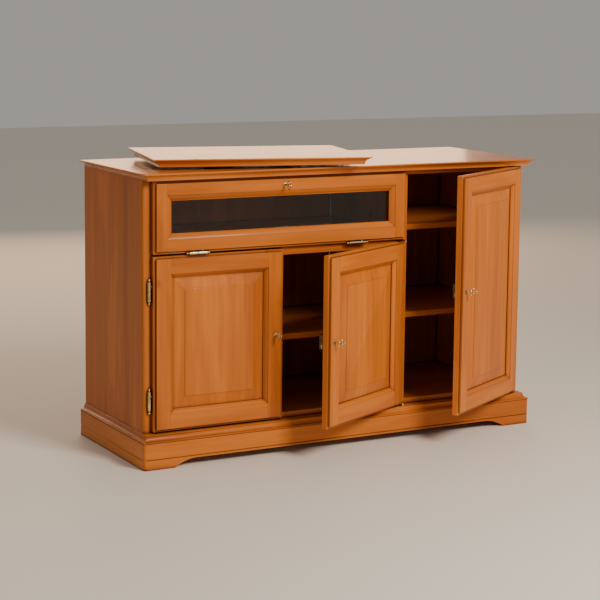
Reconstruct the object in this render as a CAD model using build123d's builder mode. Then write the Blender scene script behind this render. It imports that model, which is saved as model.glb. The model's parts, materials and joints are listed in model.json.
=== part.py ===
from build123d import *
import os
from math import cos, radians, sin, sqrt

# Console television cabinet: a low cherry sideboard with a glazed drop flap over two
# small doors, a tall door beside them, and a turning plate on top for the set.
# Millimetres, +X to the right, +Y to the back, +Z up. The origin is on the floor, at
# the centre of the plinth.

# ---- overall sizes
plinth_width = 1260.0
plinth_depth = 458.0
height = 800.0

# ---- plinth and its cap moulding
plinth_height = 72.5
plinth_board = 20.0
plinth_corner = 9.0
groove_height = 28.0
groove_size = 3.0
arch_foot = 90.0
arch_height = 22.0
arch_radius = 120.0
cap_height = 20.0
cap_inset = 16.0
cap_board = 70.0
cap_quirk = 1.6
cap_nose = 3.2
cap_cove = 12.0
cap_bead = 3.5
cap_fillet = 1.2
block_side = 34.0
block_height = 45.0
foot_side = 40.0

# ---- carcass
carcass_inset = 16.0
side_board = 22.0
stile_width = 34.0
stile_depth = 24.0
stile_round = 8.0
floor_board = 16.0
rail_flap_height = 42.0
top_rail_height = 14.0
shelf_board = 16.0
back_board = 5.0
front_setback = 44.0
partition_show = 11.0

# ---- top
top_board = 20.5
top_overhang = 15.0
top_front = 3.0
lip_height = 4.0
lip_out = 2.0
bead_height = 4.5
edge_inset = 15.0

# ---- doors and flap
door_board = 22.0
door_lip = 7.0
door_step = 7.0
door_margin = 24.0
door_gap = 4.0
door_under = 4.0
door_over = 2.5
door_member = 48.0
door_mould = 11.0
panel_bevel = 33.0
flap_height = 196.0
flap_gap = 6.0
flap_member = 38.0
flap_mould = 16.0
tall_width = 388.0
mould_quirk = 1.6
mould_drop = 9.5
mould_flat = 1.5
mould_bow = 1.6
field_set_back = 5.0
field_step = 1.5
groove_back = 4.0
groove_wide = 6.0
groove_deep = 8.0
panel_play = 0.2
glass_board = 4.0
bead_board = 6.0

# ---- how far each door stands open, in degrees, with the key at rest
middle_open = 27.0
tall_open = 30.0
plate_turn = -13.0

# ---- hinges
pin_radius = 2.5
pin_play = 0.05
barrel_radius = 4.5
barrel_length = 27.0
ball_radius = 3.2
neck_radius = 1.6
neck_long = 2.5
barrel_chamfer = 1.0
knuckle_gap = 0.4
pin_reach = 22.0
stem_radius = 1.8
stem_depth = 14.0
stem_spare = 0.5
flap_stem_drop = 2.0
hinge_side = 8.0
hinge_proud = 6.0
hinge_low = 84.0
hinge_high = 95.0
flap_hinge_in = 130.0
flap_hinge_right = 160.0
leaf_board = 2.5
leaf_long = 28.0
leaf_radius = 4.0
pivot_in = 1.0
pivot_radius = 2.0
leaf_gap = 1.0
leaf_clear = 1.0

# ---- locks and keys
lock_long = 31.0
lock_half = 20.0
lock_depth = 14.0
lock_play = 0.35
key_edge = 25.0
key_edge_flap = 23.0
key_level = 239.5
tall_key_level = 353.5
case_wall = 2.0
cavity_radius = 7.0
bolt_offset = 12.0
bolt_width = 9.0
bolt_board = 3.0
bolt_throw = 9.0
bolt_length = 30.0
bolt_short = 0.2
bolt_room = 1.0
mortise_room = 3.0
slot_room = 1.5
lock_back_off = 3.0
swing_room = 1.5
stem_key = 2.0
key_play = 0.6
key_bit = 1.6
collar_out = 5.0
collar_board = 2.0
collar_scale = 1.7
bow_out = 15.0
bow_thick = 2.4
bow_lobe = 6.0
bow_eye = 3.6
bow_spread = 6.4
bow_near = 5.0
bow_far = 14.0
strike_board = 1.5
strike_long = 50.0
strike_edge = 1.0
keeper_board = 2.0
keeper_foot = 20.0
keeper_edge = 1.0
escutcheon_radius = 8.0
escutcheon_board = 1.2
keyway_share = 1.2

# ---- shelves
wide_shelf_top = 326.0
high_shelf_top = 617.0
low_shelf_top = 359.0
shelf_play = 1.0
peg_radius = 2.5
peg_pitch = 32.0
peg_sink = 9.0
peg_out = 11.0
peg_from_front = 50.0
peg_from_back = 60.0
peg_holes = 5
cable_hole = 30.0
cable_high = 60.0
cable_in = 160.0

# ---- flap stays, as offsets from the flap's hinge axis (inwards, upwards)
stay_behind = 10.0
stay_flap_up = 70.0
stay_headroom = 34.5
stay_plate = 2.0
stay_half = 5.0
stay_stud = 2.5
stay_play = 0.3
block_from_stile = 10.0
block_long = 25.0
block_tall = 20.0
strap_tall = 12.0
strap_in = 0.5
flap_strap_tall = 14.0
flap_foot_wide = 16.0
flap_foot_tall = 20.0

# ---- turning plate
plate_x = -222.0
plate_y = -25.0
plate_width = 612.0
plate_depth = 400.0
plate_board = 22.0
race_gap = 8.0
ring_board = 3.0
ring_outer = 125.0
ring_inner = 60.0
spigot_wall = 10.0
spigot_short = 0.5
race_radius = 92.0
race_play = 0.35
ball_bearing = 2.5
ball_count = 24

# ---- places worked out from the sizes above
plinth_front_y = -plinth_depth / 2
back_y = plinth_depth / 2
carcass_half = plinth_width / 2 - carcass_inset
carcass_front = plinth_front_y + front_setback
stile_back = carcass_front + stile_depth
carcass_bottom = plinth_height + cap_height
carcass_top = height - top_board
inner_half = carcass_half - side_board
stile_inner = carcass_half - stile_width
back_face = back_y - back_board

zone_half = carcass_half - door_margin
tall_left = zone_half - tall_width
flap_right = tall_left - door_gap
flap_width = flap_right + zone_half
small_width = (flap_width - door_gap) / 2
middle_left = flap_right - small_width
mid_right = tall_left + partition_show
mid_left = mid_right - stile_width
part_left = mid_right - side_board

door_bottom = carcass_bottom + door_under
door_top = carcass_top - door_over
flap_bottom = door_top - flap_height
small_height = flap_bottom - flap_gap - door_bottom
tall_height = door_top - door_bottom
rail_flap_mid = flap_bottom - flap_gap / 2 - 1
rail_flap_top = rail_flap_mid + rail_flap_height / 2
lip_back = door_board - door_step
key_z = door_bottom + key_level
tall_key_z = door_bottom + tall_key_level
slot_across = bolt_board + 2 * bolt_room
slot_along = bolt_width + 2 * slot_room

left_axis = (-zone_half - hinge_side, carcass_front - hinge_proud)
tall_axis = (zone_half + hinge_side, carcass_front - hinge_proud)
middle_axis = (flap_right - pivot_in, carcass_front - door_board)
flap_axis_y = carcass_front - lip_back - barrel_radius - 0.5
flap_axis_z = flap_bottom - flap_gap + barrel_radius + 0.5
stay_in = carcass_front + stay_behind - flap_axis_y
stay_side_up = carcass_top - stay_headroom - stay_flap_up - flap_axis_z

os.makedirs("parts", exist_ok=True)


def write(label, *pieces):
    """Label one piece, or a group of loose pieces, and write it as a node of its own."""
    node = pieces[0] if len(pieces) == 1 else Compound(children=list(pieces))
    node.label = label
    export_step(node, f"parts/{label}.step")


def swung(left, bottom, axis, turn):
    """Plane on a door's back face, x across it, y up and z out, turned about its hinge."""
    c = cos(radians(turn))
    s = sin(radians(turn))
    x = left - axis[0]
    y = carcass_front - axis[1]
    corner = (axis[0] + c * x - s * y, axis[1] + s * x + c * y, bottom)
    return Plane(origin=corner, x_dir=(c, s, 0), z_dir=(s, -c, 0))


left_plane = swung(-zone_half, door_bottom, left_axis, 0)
middle_plane = swung(middle_left, door_bottom, middle_axis, middle_open)
tall_plane = swung(tall_left, door_bottom, tall_axis, tall_open)
flap_plane = swung(-zone_half, flap_bottom, left_axis, 0)


def edge_plane(plane, along, out, x, y, z):
    """Plane at a point of another plane, given by two of its directions."""
    axes = {"x": plane.x_dir, "y": plane.y_dir, "z": plane.z_dir,
            "-x": -plane.x_dir, "-y": -plane.y_dir, "-z": -plane.z_dir}
    return Plane(origin=plane.from_local_coords((x, y, z)), x_dir=axes[along], z_dir=axes[out])


# ---------------------------------------------------------------- plinth

with BuildPart() as plinth_front:
    with BuildSketch(Plane.XZ.offset(-plinth_front_y)) as board:
        with Locations((0, plinth_height / 2)):
            Rectangle(plinth_width, plinth_height)
        with BuildLine():
            foot = plinth_width / 2 - arch_foot
            run = sqrt(arch_radius**2 - (arch_radius - arch_height) ** 2)
            left_curve = RadiusArc((-foot, 0), (-foot + run, arch_height), arch_radius)
            right_curve = RadiusArc((foot - run, arch_height), (foot, 0), arch_radius)
            Line(left_curve @ 1, right_curve @ 0)
            Line(right_curve @ 1, left_curve @ 0)
        make_face(mode=Mode.SUBTRACT)
    extrude(amount=-plinth_board)
    uprights = plinth_front.edges().filter_by(Axis.Z).group_by(Axis.Y)[0].sort_by(Axis.X)
    fillet([uprights[0], uprights[-1]], plinth_corner)
    with BuildSketch(Plane.YZ.offset(-plinth_width / 2)) as front_groove:
        with Locations((plinth_front_y, groove_height)):
            Rectangle(groove_size, groove_size, rotation=45)
    extrude(amount=plinth_width, mode=Mode.SUBTRACT)
write("plinth_front", plinth_front.part)

with BuildPart() as plinth_side:
    with BuildSketch(Plane.XY) as side_plan:
        with Locations((-plinth_width / 2, plinth_front_y + plinth_board)):
            Rectangle(plinth_board, plinth_depth - plinth_board, align=(Align.MIN, Align.MIN))
    extrude(amount=plinth_height)
    with BuildSketch(Plane.XZ.offset(-back_y)) as side_groove:
        with Locations((-plinth_width / 2, groove_height)):
            Rectangle(groove_size, groove_size, rotation=45)
    extrude(amount=plinth_depth, mode=Mode.SUBTRACT)
with BuildPart() as plinth_side_right:
    add(plinth_side.part.mirror(Plane.YZ))
write("plinth_sides", plinth_side.part, plinth_side_right.part)

with BuildPart() as plinth_back:
    with BuildSketch(Plane.XY) as back_plan:
        with Locations((0, back_y)):
            Rectangle(plinth_width - 2 * plinth_board, plinth_board, align=(Align.CENTER, Align.MAX))
    extrude(amount=plinth_height)
write("plinth_back", plinth_back.part)

with BuildPart() as plinth_blocks:
    block_x = plinth_width / 2 - plinth_board - block_side / 2
    block_y = plinth_depth / 2 - plinth_board - block_side / 2
    with BuildSketch(Plane.XY.offset(plinth_height - block_height)):
        with GridLocations(2 * block_x, 2 * block_y, 2, 2):
            Rectangle(block_side, block_side)
        with GridLocations(0, 2 * block_y, 1, 2):
            Rectangle(block_side, block_side)
    extrude(amount=block_height)
with BuildPart() as centre_foot:
    with BuildSketch():
        Rectangle(foot_side, foot_side)
    extrude(amount=carcass_bottom)
write("plinth_blocks", plinth_blocks.part, centre_foot.part)


def cap_strip(plane, length):
    """A length of cap moulding, its section drawn outwards along x and upwards along y."""
    with BuildPart() as strip:
        with BuildSketch(plane) as section:
            with BuildLine():
                under = Polyline((cap_board, 0), (cap_quirk, 0), (cap_quirk, cap_quirk), (0, cap_quirk))
                nose = RadiusArc(under @ 1, (cap_nose, cap_quirk + cap_nose), cap_nose)
                step = Line(nose @ 1, (cap_nose + cap_quirk, cap_quirk + cap_nose))
                cove_top = (cap_inset - cap_bead, cap_height - cap_bead - cap_fillet)
                cove = RadiusArc(step @ 1, cove_top, -cap_cove)
                fillet_up = Line(cove @ 1, (cap_inset - cap_bead, cap_height - cap_bead))
                bead = RadiusArc(fillet_up @ 1, (cap_inset, cap_height), cap_bead)
                Polyline(bead @ 1, (cap_board, cap_height), (cap_board, 0))
            make_face()
        extrude(amount=length)
    return strip.part


corner = (-plinth_width / 2, plinth_front_y, plinth_height)
front_section = Plane(origin=corner, x_dir=(0, 1, 0), z_dir=(1, 0, 0))
side_section = Plane(
    origin=(-plinth_width / 2, back_y, plinth_height), x_dir=(1, 0, 0), z_dir=(0, -1, 0)
)
left_mitre = Plane(origin=corner, x_dir=(0, 0, 1), z_dir=(1, -1, 0))
right_mitre = Plane(origin=(plinth_width / 2, plinth_front_y, 0), x_dir=(0, 0, 1), z_dir=(-1, -1, 0))

with BuildPart() as cap_front:
    add(cap_strip(front_section, plinth_width))
    split(bisect_by=left_mitre, keep=Keep.TOP)
    split(bisect_by=right_mitre, keep=Keep.TOP)
with BuildPart() as cap_left:
    add(cap_strip(side_section, plinth_depth))
    split(bisect_by=left_mitre, keep=Keep.BOTTOM)
with BuildPart() as cap_right:
    add(cap_left.part.mirror(Plane.YZ))
write("cap_moulding", cap_front.part, cap_left.part, cap_right.part)

# ---------------------------------------------------------------- carcass

peg_front = stile_back + peg_from_front
peg_back = back_face - peg_from_back


def peg_rows(plane_x, side, levels):
    """Cut two upright rows of shelf-pin holes, centred on each level, into a side."""
    for level in levels:
        wall = Plane(origin=(plane_x, 0, level), x_dir=(0, side, 0), z_dir=(side, 0, 0))
        with BuildSketch(wall) as rows:
            with Locations((side * (peg_front + peg_back) / 2, 0)):
                with GridLocations(peg_back - peg_front, peg_pitch, 2, peg_holes):
                    Circle(peg_radius)
        extrude(rows.sketch, amount=-peg_sink, mode=Mode.SUBTRACT)


wide_level = wide_shelf_top - shelf_board - peg_radius
high_level = high_shelf_top - shelf_board - peg_radius
low_level = low_shelf_top - shelf_board - peg_radius

with BuildPart() as side_left:
    with BuildSketch(Plane.XY.offset(carcass_bottom)):
        with Locations((-carcass_half, stile_back)):
            Rectangle(side_board, back_y - stile_back, align=(Align.MIN, Align.MIN))
    extrude(amount=carcass_top - carcass_bottom)
    peg_rows(-inner_half, 1, [wide_level])
write("side_panel_left", side_left.part)

with BuildPart() as side_right:
    with BuildSketch(Plane.XY.offset(carcass_bottom)):
        with Locations((carcass_half, stile_back)):
            Rectangle(side_board, back_y - stile_back, align=(Align.MAX, Align.MIN))
    extrude(amount=carcass_top - carcass_bottom)
    peg_rows(inner_half, -1, [high_level, low_level])
write("side_panel_right", side_right.part)

with BuildPart() as partition:
    with BuildSketch(Plane.XY.offset(carcass_bottom + floor_board)):
        with Locations((part_left, stile_back)):
            Rectangle(side_board, back_face - stile_back, align=(Align.MIN, Align.MIN))
    extrude(amount=carcass_top - carcass_bottom - floor_board)
    peg_rows(part_left, -1, [wide_level])
    peg_rows(mid_right, 1, [high_level, low_level])
write("partition", partition.part)

with BuildPart() as floor_panel:
    with BuildSketch(Plane.XY.offset(carcass_bottom)):
        with Locations((0, stile_back)):
            Rectangle(2 * inner_half, back_face - stile_back, align=(Align.CENTER, Align.MIN))
    extrude(amount=floor_board)
write("floor_panel", floor_panel.part)

with BuildPart() as deck:
    with BuildSketch(Plane.XY.offset(rail_flap_top - shelf_board)):
        with Locations((-inner_half, stile_back)):
            Rectangle(inner_half + part_left, back_face - stile_back, align=(Align.MIN, Align.MIN))
    extrude(amount=shelf_board)
write("deck", deck.part)


def back_sheet(left, right, holes):
    """A back board between two uprights, with round holes for cables."""
    with BuildPart() as sheet:
        with BuildSketch(Plane.XZ.offset(-back_y)):
            with Locations(((left + right) / 2, (carcass_bottom + carcass_top) / 2)):
                Rectangle(right - left, carcass_top - carcass_bottom)
            with Locations(*holes):
                Circle(cable_hole, mode=Mode.SUBTRACT)
        extrude(amount=back_board)
    return sheet.part


flap_hole_z = carcass_top - cable_high
back_left = back_sheet(-inner_half, part_left, [(-inner_half + cable_in, flap_hole_z),
                                                (part_left - cable_in, flap_hole_z),
                                                (middle_left, wide_shelf_top + cable_high)])
back_right = back_sheet(mid_right, inner_half, [((mid_right + inner_half) / 2, high_shelf_top + cable_high)])
write("back_panels", back_left, back_right)

with BuildPart() as wide_shelf:
    with BuildSketch(Plane.XY.offset(wide_shelf_top - shelf_board)):
        with Locations((-inner_half + shelf_play, stile_back + shelf_play)):
            Rectangle(inner_half + part_left - 2 * shelf_play,
                      back_face - stile_back - 2 * shelf_play,
                      align=(Align.MIN, Align.MIN))
    extrude(amount=shelf_board)
write("wide_shelf", wide_shelf.part)

with BuildPart() as narrow_shelves:
    for shelf_top in (low_shelf_top, high_shelf_top):
        with BuildSketch(Plane.XY.offset(shelf_top - shelf_board)):
            with Locations((mid_right + shelf_play, stile_back + shelf_play)):
                Rectangle(inner_half - mid_right - 2 * shelf_play,
                          back_face - stile_back - 2 * shelf_play,
                          align=(Align.MIN, Align.MIN))
        extrude(amount=shelf_board)
write("narrow_shelves", narrow_shelves.part)

with BuildPart() as shelf_pins:
    for wall, side, level in ((-inner_half, 1, wide_level), (part_left, -1, wide_level),
                              (mid_right, 1, high_level), (inner_half, -1, high_level),
                              (mid_right, 1, low_level), (inner_half, -1, low_level)):
        start = wall - side * peg_sink
        with BuildSketch(Plane(origin=(start, 0, level), x_dir=(0, 1, 0), z_dir=(side, 0, 0))):
            with Locations((peg_front, 0), (peg_back, 0)):
                Circle(peg_radius)
        extrude(amount=peg_sink + peg_out)
write("shelf_pins", shelf_pins.part)

# ---------------------------------------------------------------- front frame


def hinge_levels(axis_height):
    """Heights of a door's two hinges, from the height of the door."""
    return (door_bottom + hinge_low, door_bottom + axis_height - hinge_high)


left_levels = hinge_levels(small_height)
tall_levels = hinge_levels(tall_height)


def drill(x, y, z, x_dir, z_dir, radius, depth):
    """Bore a hole into the part being built, from a point and along a direction."""
    with BuildSketch(Plane(origin=(x, y, z), x_dir=x_dir, z_dir=z_dir)) as bore:
        Circle(radius)
    extrude(bore.sketch, amount=depth, mode=Mode.SUBTRACT)


lower_stem = barrel_length / 2
with BuildPart() as stile_left:
    with BuildSketch(Plane.XY.offset(carcass_bottom)):
        with Locations((-carcass_half, carcass_front)):
            Rectangle(stile_width, stile_depth, align=(Align.MIN, Align.MIN))
    extrude(amount=carcass_top - carcass_bottom)
    fillet(stile_left.edges().filter_by(Axis.Z).group_by(Axis.Y)[0].sort_by(Axis.X)[0], stile_round)
    for level in left_levels:
        drill(left_axis[0], carcass_front, level - lower_stem, (1, 0, 0), (0, 1, 0),
              stem_radius, stem_depth)

with BuildPart() as stile_right:
    with BuildSketch(Plane.XY.offset(carcass_bottom)):
        with Locations((carcass_half, carcass_front)):
            Rectangle(stile_width, stile_depth, align=(Align.MAX, Align.MIN))
    extrude(amount=carcass_top - carcass_bottom)
    fillet(stile_right.edges().filter_by(Axis.Z).group_by(Axis.Y)[0].sort_by(Axis.X)[-1], stile_round)
    for level in tall_levels:
        drill(tall_axis[0], carcass_front, level - lower_stem, (1, 0, 0), (0, 1, 0),
              stem_radius, stem_depth)

bolt_y = carcass_front + lock_depth / 2
small_top = door_bottom + small_height
pivot_leaf_levels = (carcass_bottom, small_top + leaf_gap)
with BuildPart() as stile_mid:
    with BuildSketch(Plane.XY.offset(carcass_bottom)):
        with Locations((mid_left, carcass_front)):
            Rectangle(stile_width, stile_depth, align=(Align.MIN, Align.MIN))
    extrude(amount=carcass_top - carcass_bottom)
    with BuildSketch(Plane.YZ.offset(mid_right)):
        with Locations((bolt_y, tall_key_z - bolt_offset)):
            Rectangle(slot_across, slot_along)
    extrude(amount=-bolt_throw - mortise_room, mode=Mode.SUBTRACT)
    for leaf_bottom in pivot_leaf_levels:
        with BuildSketch(Plane.XY.offset(leaf_bottom)):
            with Locations((middle_axis[0], carcass_front)):
                Rectangle(2 * leaf_radius, stem_depth, align=(Align.CENTER, Align.MIN))
        extrude(amount=leaf_board, mode=Mode.SUBTRACT)
write("front_stiles", stile_left.part, stile_mid.part, stile_right.part)


def cross_rail(left, right, bottom, rail_height):
    """A rail of the front frame between two stiles."""
    with BuildPart() as rail:
        with BuildSketch(Plane.XY.offset(bottom)):
            with Locations((left, carcass_front)):
                Rectangle(right - left, stile_depth, align=(Align.MIN, Align.MIN))
        extrude(amount=rail_height)
    return rail.part


flap_mid_x = flap_width / 2 - zone_half
with BuildPart() as top_rail_left:
    add(cross_rail(-stile_inner, mid_left, carcass_top - top_rail_height, top_rail_height))
    with BuildSketch(Plane.XY.offset(carcass_top - top_rail_height)):
        with Locations((flap_mid_x - bolt_offset, bolt_y)):
            Rectangle(slot_along, slot_across)
    extrude(amount=bolt_throw + bolt_room, mode=Mode.SUBTRACT)
top_rail_right = cross_rail(mid_right, stile_inner, carcass_top - top_rail_height, top_rail_height)
floor_rail_left = cross_rail(-stile_inner, mid_left, carcass_bottom, floor_board)
floor_rail_right = cross_rail(mid_right, stile_inner, carcass_bottom, floor_board)
write("front_rails", top_rail_left.part, top_rail_right, floor_rail_left, floor_rail_right)

flap_hinge_x = (-zone_half + flap_hinge_in, flap_right - flap_hinge_right)
flap_stem_z = flap_axis_z - flap_stem_drop
with BuildPart() as flap_rail:
    add(cross_rail(-stile_inner, mid_left, rail_flap_top - rail_flap_height, rail_flap_height))
    for hinge_x in flap_hinge_x:
        drill(hinge_x - lower_stem, carcass_front, flap_stem_z, (1, 0, 0), (0, 1, 0),
              stem_radius, stem_depth)
write("flap_rail", flap_rail.part)

# ---------------------------------------------------------------- top and turning plate


def moulded_board(plane, width, depth, thickness, flush_back):
    """A board with a thin lip on top, a hollow under it and a bead at the bottom."""
    inset_back = 0 if flush_back else edge_inset
    hollow = thickness - lip_height - bead_height
    with BuildPart() as board:
        with BuildSketch(plane):
            with Locations((0, (edge_inset - inset_back) / 2)):
                Rectangle(width - 2 * edge_inset, depth - edge_inset - inset_back)
        extrude(amount=bead_height)
        steps = ((0.0, edge_inset), (0.35, edge_inset - 2.0), (0.7, edge_inset - 6.0), (1.0, lip_out))
        for (low, wide), (high, narrow) in zip(steps, steps[1:]):
            for share, inset in ((low, wide), (high, narrow)):
                back = 0 if flush_back else inset
                with BuildSketch(plane.offset(bead_height + share * hollow)):
                    with Locations((0, (inset - back) / 2)):
                        Rectangle(width - 2 * inset, depth - inset - back)
            loft()
        with BuildSketch(plane.offset(thickness - lip_height)):
            Rectangle(width, depth)
        extrude(amount=lip_height)
    return board


top_width = 2 * (carcass_half + top_overhang)
top_depth = plinth_depth + top_front
top_plane = Plane(origin=(0, back_y - top_depth / 2, carcass_top))
top_panel = moulded_board(top_plane, top_width, top_depth, top_board, True)
write("top_panel", top_panel.part)

plate_plane = Plane(
    origin=(plate_x, plate_y, height + race_gap),
    x_dir=(cos(radians(plate_turn)), sin(radians(plate_turn)), 0),
    z_dir=(0, 0, 1),
)
tv_plate = moulded_board(plate_plane, plate_width, plate_depth, plate_board, False)
write("tv_plate", tv_plate.part)

ring_plane = Plane(origin=(plate_x, plate_y, height))
race_centre = race_gap / 2
with BuildPart() as turntable_base:
    with BuildSketch(ring_plane):
        Circle(ring_outer)
        Circle(ring_inner - spigot_wall, mode=Mode.SUBTRACT)
    extrude(amount=ring_board)
    with BuildSketch(ring_plane):
        Circle(ring_inner)
        Circle(ring_inner - spigot_wall, mode=Mode.SUBTRACT)
    extrude(amount=race_gap - spigot_short)
    with BuildSketch(Plane(origin=(plate_x, plate_y, height), x_dir=(1, 0, 0), z_dir=(0, -1, 0))):
        with Locations((race_radius, race_centre)):
            Circle(ball_bearing)
    revolve(axis=Axis((plate_x, plate_y, height), (0, 0, 1)), mode=Mode.SUBTRACT)
write("turntable_base", turntable_base.part)

with BuildPart() as turntable_ring:
    with BuildSketch(ring_plane.offset(race_gap - ring_board)):
        Circle(ring_outer)
        Circle(ring_inner + pin_play, mode=Mode.SUBTRACT)
    extrude(amount=ring_board)
    with BuildSketch(Plane(origin=(plate_x, plate_y, height), x_dir=(1, 0, 0), z_dir=(0, -1, 0))):
        with Locations((race_radius, race_centre)):
            Circle(ball_bearing + race_play)
    revolve(axis=Axis((plate_x, plate_y, height), (0, 0, 1)), mode=Mode.SUBTRACT)
write("turntable_ring", turntable_ring.part)

with BuildPart() as turntable_balls:
    with Locations(ring_plane.offset(race_centre)):
        with PolarLocations(race_radius, ball_count):
            Sphere(ball_bearing)
write("turntable_balls", turntable_balls.part)

# ---------------------------------------------------------------- door frames


def member_section(member, mould, rebate):
    """Half-open outline of a frame member: lip, step, flat, moulding, groove or rebate."""
    inner = member + mould
    with BuildLine() as outline:
        outer = Polyline(
            (0, 0), (0, lip_back), (door_lip, lip_back), (door_lip, door_board),
            (member, door_board), (member, door_board - mould_quirk),
        )
        ovolo = RadiusArc(outer @ 1, (inner - mould_flat, door_board - mould_drop), mould_bow * mould)
        if rebate:
            seat = bead_board + glass_board
            Polyline(ovolo @ 1, (inner, door_board - mould_drop), (inner, seat),
                     (inner - groove_deep, seat), (inner - groove_deep, 0), (0, 0))
        else:
            front = groove_back + groove_wide
            Polyline(ovolo @ 1, (inner, door_board - mould_drop), (inner, front),
                     (inner - groove_deep, front), (inner - groove_deep, groove_back),
                     (inner, groove_back), (inner, 0), (0, 0))
    make_face(outline.edges())


def keyhole(plane, x, y, radius, slot, depth):
    """Cut a round hole with a slot below it through the part being built."""
    with BuildSketch(plane) as outline:
        with Locations((x, y)):
            Circle(radius)
        with Locations((x, y - slot / 2)):
            Rectangle(keyway_share * radius, slot)
    extrude(outline.sketch, amount=depth, mode=Mode.SUBTRACT)


def door_stile(plane, right, door_width, door_height, member, mould, rebate):
    """An upright of a door, full height, its lip carried round both ends."""
    with BuildPart() as stile:
        if right:
            section = edge_plane(plane, "-x", "y", door_width, 0, 0)
        else:
            section = edge_plane(plane, "x", "-y", 0, 0, 0)
        with BuildSketch(section):
            member_section(member, mould, rebate)
        extrude(amount=door_height if right else -door_height)
        with BuildSketch(plane.offset(lip_back)):
            with Locations((door_width / 2, 0)):
                Rectangle(door_width, 2 * door_lip)
            with Locations((door_width / 2, door_height)):
                Rectangle(door_width, 2 * door_lip)
        extrude(amount=door_step, mode=Mode.SUBTRACT)
    return stile.part


def door_rail(plane, top, door_width, door_height, member, mould, rebate, stiles):
    """A cross member of a door, its ends coped over the stiles' moulding."""
    length = door_width - 2 * member
    if top:
        section = edge_plane(plane, "-y", "-x", door_width - member, door_height, 0)
    else:
        section = edge_plane(plane, "y", "x", member, 0, 0)
    with BuildPart() as rail:
        with BuildSketch(section):
            member_section(member, mould, rebate)
        extrude(amount=length)
        add(stiles, mode=Mode.SUBTRACT)
    return rail.part


def raised_panel(plane, door_width, door_height):
    """A panel held in the frame's groove, bevelled up to a flat field."""
    centre = (door_width / 2, door_height / 2)
    open_width = door_width - 2 * (door_member + door_mould)
    open_height = door_height - 2 * (door_member + door_mould)
    tongue = 2 * (groove_deep - 1)
    back = groove_back + panel_play
    front = groove_back + groove_wide - panel_play
    field = door_board - field_set_back
    with BuildPart() as panel:
        with BuildSketch(plane.offset(back)):
            with Locations(centre):
                Rectangle(open_width + tongue, open_height + tongue)
        extrude(amount=front - back)
        with BuildSketch(plane.offset(front)):
            with Locations(centre):
                Rectangle(open_width, open_height)
        with BuildSketch(plane.offset(field)):
            with Locations(centre):
                Rectangle(open_width - 2 * panel_bevel, open_height - 2 * panel_bevel)
        loft()
        with BuildSketch(plane.offset(field)):
            with Locations(centre):
                Rectangle(open_width - 2 * panel_bevel, open_height - 2 * panel_bevel)
        extrude(amount=field_step)
    return panel


def stem_hole(plane, x, y, z, into):
    """Bore a door member for the stem of a hinge half."""
    with BuildSketch(edge_plane(plane, "z", into, x, y, z)) as bore:
        Circle(stem_radius)
    extrude(bore.sketch, amount=stem_depth, mode=Mode.SUBTRACT)


def lock_parts(plane, x, y, edge, front_reach):
    """Lock case with its key escutcheon, bolt and key; the bolt shoots along edge."""
    case_plane = edge_plane(plane, edge, "z", x, y, 0)
    bolt_back = -lock_depth / 2 - bolt_board / 2
    bit_drop = cavity_radius - 1
    bit_back = 1 + 2 * case_wall - lock_depth
    bit_long = lock_depth / 2 - case_wall
    drop = edge_plane(plane, "x", "z", x, y, 0)
    with BuildPart() as case:
        with BuildSketch(case_plane.offset(-lock_depth)):
            with Locations(((front_reach - lock_long) / 2, 0)):
                Rectangle(front_reach + lock_long, 2 * lock_half)
        extrude(amount=lock_depth)
        with BuildSketch(case_plane.offset(-lock_depth + case_wall)):
            Circle(cavity_radius)
        extrude(amount=lock_depth - 2 * case_wall, mode=Mode.SUBTRACT)
        keyhole(drop.offset(-case_wall), 0, 0, stem_key + pin_play, bit_drop, case_wall)
        with BuildSketch(case_plane.offset(bolt_back - lock_play)):
            with Locations((front_reach, bolt_offset)):
                Rectangle(bolt_length + bolt_room, bolt_width + 2 * lock_play,
                          align=(Align.MAX, Align.CENTER))
        extrude(amount=bolt_board + 2 * lock_play, mode=Mode.SUBTRACT)
    with BuildPart() as escutcheon:
        with BuildSketch(drop.offset(door_board)):
            Circle(escutcheon_radius)
        extrude(amount=escutcheon_board)
        keyhole(drop.offset(door_board), 0, 0, stem_key + key_play, bit_drop, escutcheon_board)
    with BuildPart() as bolt:
        with BuildSketch(case_plane.offset(bolt_back)):
            with Locations((front_reach - bolt_short, bolt_offset)):
                Rectangle(bolt_length, bolt_width, align=(Align.MAX, Align.CENTER))
        extrude(amount=bolt_board)
    with BuildPart() as key:
        with BuildSketch(drop.offset(2 * case_wall - lock_depth)):
            Circle(stem_key)
        extrude(amount=lock_depth - 2 * case_wall + door_board + bow_out + bow_near / 2)
        with BuildSketch(drop.offset(bit_back)):
            with Locations((0, -bit_drop / 2)):
                Rectangle(key_bit, bit_drop)
        extrude(amount=bit_long)
        with BuildSketch(drop.offset(door_board + collar_out)):
            Circle(collar_scale * stem_key)
        extrude(amount=collar_board)
        bow = edge_plane(drop, "y", "-x", 0, 0, door_board + bow_out)
        lobes = ((-bow_spread, -bow_near), (bow_spread, -bow_near), (0, -bow_far))
        with BuildSketch(bow.offset(-bow_thick / 2)):
            with Locations(*lobes):
                Circle(bow_lobe)
            with Locations(*lobes):
                Circle(bow_eye, mode=Mode.SUBTRACT)
        extrude(amount=bow_thick)
    return Compound(children=[case.part, escutcheon.part]), bolt.part, key.part


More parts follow.
